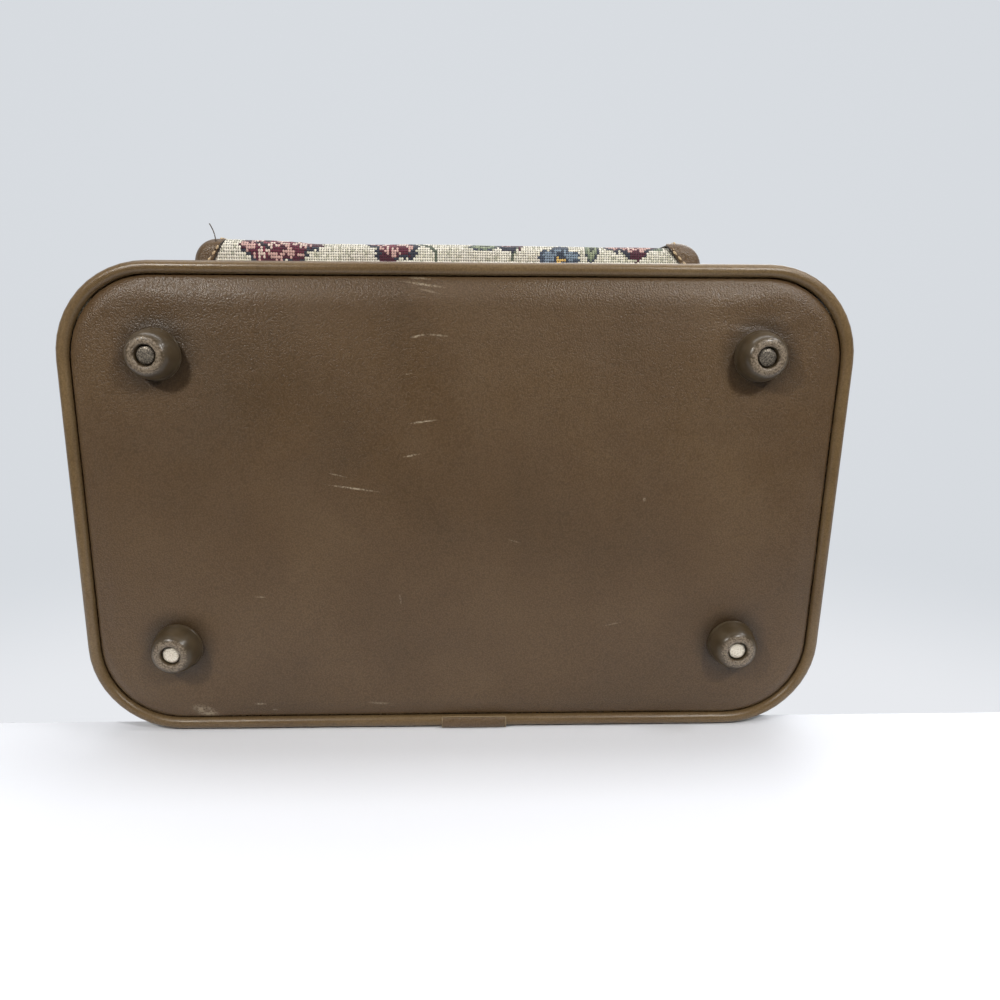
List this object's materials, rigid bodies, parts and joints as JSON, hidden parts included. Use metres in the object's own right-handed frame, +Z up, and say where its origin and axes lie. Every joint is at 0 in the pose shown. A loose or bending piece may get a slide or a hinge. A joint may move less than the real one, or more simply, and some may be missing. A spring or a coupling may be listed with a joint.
{
  "type": "cosmetic train case",
  "caption": "Soft-sided cosmetic train case in tapestry and vinyl with a hinged zip-round lid, top handle, front zip pocket, lid mirror and riveted moulded feet.",
  "frame": {"origin": "centre of the bounding box's bottom, on the floor under the feet", "axes": "+Z up; -Y is the front with the pocket; +X is the right side seen from the front; the lid is shut"},
  "size_m": [0.3222, 0.2164, 0.2196],
  "materials": {
    "vinyl": "brown leather-grain vinyl, semi-matt",
    "piping_vinyl": "brown smooth vinyl, satin",
    "foot": "brown moulded plastic, worn satin",
    "rivet": "pitted nickelled steel",
    "tapestry": "woven floral tapestry, cream ground",
    "lining": "plain woven nylon lining",
    "binding": "brown folded binding",
    "board": "grey-brown fibreboard",
    "zip_tape": "brown woven zip tape",
    "zip_teeth": "brown moulded teeth",
    "fitting": "antique brass plated, satin",
    "mirror": "silvered glass"
  },
  "bodies": {
    "case_body": {"base_cover": "vinyl", "base_piping": "piping_vinyl", "piping_join_patch": "piping_vinyl", "base_board": "board", "bottom_pad": "board", "foot_front_left": "foot", "foot_front_right": "foot", "foot_back_left": "foot", "foot_back_right": "foot", "foot_rivets": "rivet", "foot_washers": "rivet", "body_cover": "tapestry", "body_board": "board", "body_lining": "lining", "body_rim_binding": "binding", "body_zip_tape": "zip_tape", "body_zip_teeth": "zip_teeth", "hinge_strip": "vinyl", "pocket_face": "tapestry", "pocket_end_left": "vinyl", "pocket_end_right": "vinyl", "pocket_zip_tape": "zip_tape", "pocket_zip_teeth": "zip_teeth"},
    "lid": {"lid_wall_board": "board", "lid_top_board": "board", "lid_side_cover": "tapestry", "lid_top_cover": "tapestry", "lid_piping": "piping_vinyl", "lid_lining": "lining", "lid_rim_binding": "binding", "lid_zip_tape": "zip_tape", "lid_zip_teeth": "zip_teeth", "mirror_frame": "vinyl", "lid_mirror": "mirror", "handle_chape_left": "vinyl", "handle_chape_right": "vinyl"},
    "handle": {"handle_ring_left": "fitting", "handle_ring_right": "fitting", "handle_grip": "vinyl"},
    "slider_left": {"zip_slider_left": "fitting"},
    "slider_right": {"zip_slider_right": "fitting"},
    "pocket_slider": {"pocket_zip_slider": "fitting"},
    "pull_left": {"pull_ring_left": "fitting", "pull_tab_left": "vinyl"},
    "pull_right": {"pull_ring_right": "fitting", "pull_tab_right": "vinyl"},
    "pocket_pull": {"pocket_pull_ring": "fitting", "pocket_pull_tab": "vinyl"}
  },
  "joints": [
    {"name": "lid_hinge", "type": "hinge", "parent": "case_body", "child": "lid", "pos_m": [0, 0.10605, 0.142], "axis": [-1, 0, 0], "range_deg": [0, 105], "deforming": ["hinge_strip"]},
    {"name": "handle_swing", "type": "hinge", "parent": "lid", "child": "handle", "pos_m": [0, 0.00155, 0.2074], "axis": [-1, 0, 0], "range_deg": [0, 150]},
    {"name": "left_slider_run", "type": "slide", "parent": "case_body", "child": "slider_left", "axis": [-1, 0, 0], "range_m": [0, 0.1065]},
    {"name": "right_slider_run", "type": "slide", "parent": "case_body", "child": "slider_right", "axis": [1, 0, 0], "range_m": [0, 0.1065]},
    {"name": "left_pull_swing", "type": "hinge", "parent": "slider_left", "child": "pull_left", "pos_m": [-0.0065, -0.09615, 0.142], "axis": [-1, 0, 0], "range_deg": [0, 120]},
    {"name": "right_pull_swing", "type": "hinge", "parent": "slider_right", "child": "pull_right", "pos_m": [0.0065, -0.09615, 0.142], "axis": [-1, 0, 0], "range_deg": [0, 120]},
    {"name": "pocket_slider_run", "type": "slide", "parent": "case_body", "child": "pocket_slider", "axis": [1, 0, 0], "range_m": [0, 0.1525]},
    {"name": "pocket_pull_swing", "type": "hinge", "parent": "pocket_slider", "child": "pocket_pull", "pos_m": [-0.07985, -0.10575, 0.107], "axis": [-1, 0, 0], "range_deg": [0, 120]}
  ]
}
